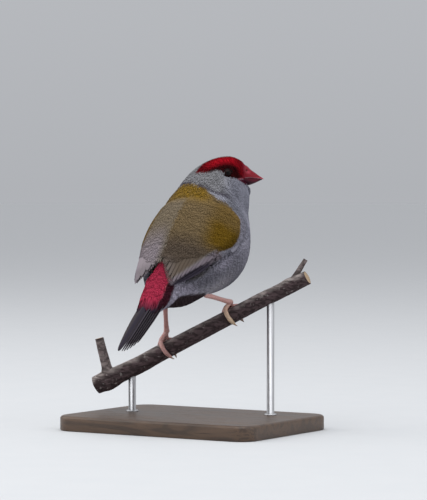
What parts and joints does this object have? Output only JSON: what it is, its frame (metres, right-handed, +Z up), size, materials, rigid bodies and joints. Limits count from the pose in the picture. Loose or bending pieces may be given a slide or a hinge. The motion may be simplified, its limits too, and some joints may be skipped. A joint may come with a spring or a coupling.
{
  "type": "perched bird figure",
  "caption": "Life-size still figure of a small perched finch with its head turned to the right, on a cut branch held by rods over a flat base.",
  "frame": {"origin": "centre of the underside of the base", "axes": "+Z up, +Y along the heading of the bird's body, +X to the bird's right"},
  "size_m": [0.0904, 0.0842, 0.109],
  "materials": {
    "hood": "matt grey plumage",
    "mantle": "matt olive and grey plumage",
    "rump": "matt crimson plumage",
    "wing": "matt olive-brown flight feathers",
    "tail": "matt slate-black flight feathers",
    "bill": "satin red horn",
    "eye": "wet dark red-brown",
    "leg": "scaly pink skin",
    "claw": "translucent horn",
    "bark": "rough dark bark",
    "base_wood": "dark stained, satin",
    "rod": "satin"
  },
  "bodies": {
    "root": {"head": "hood", "neck": "hood", "torso": "mantle", "rump": "rump", "wing_left": "wing", "wing_right": "wing", "tail": "tail", "bill_upper": "bill", "bill_lower": "bill", "eye_left": "eye", "eye_right": "eye", "tarsus_left": "leg", "tarsus_right": "leg", "foot_left": "leg", "foot_right": "leg", "perch_branch": "bark", "stand_base": "base_wood", "stand_rod_left": "rod", "stand_rod_right": "rod", "claw_left_hallux": "claw", "claw_left_inner": "claw", "claw_left_middle": "claw", "claw_left_outer": "claw", "claw_right_hallux": "claw", "claw_right_inner": "claw", "claw_right_middle": "claw", "claw_right_outer": "claw"}
  },
  "joints": []
}
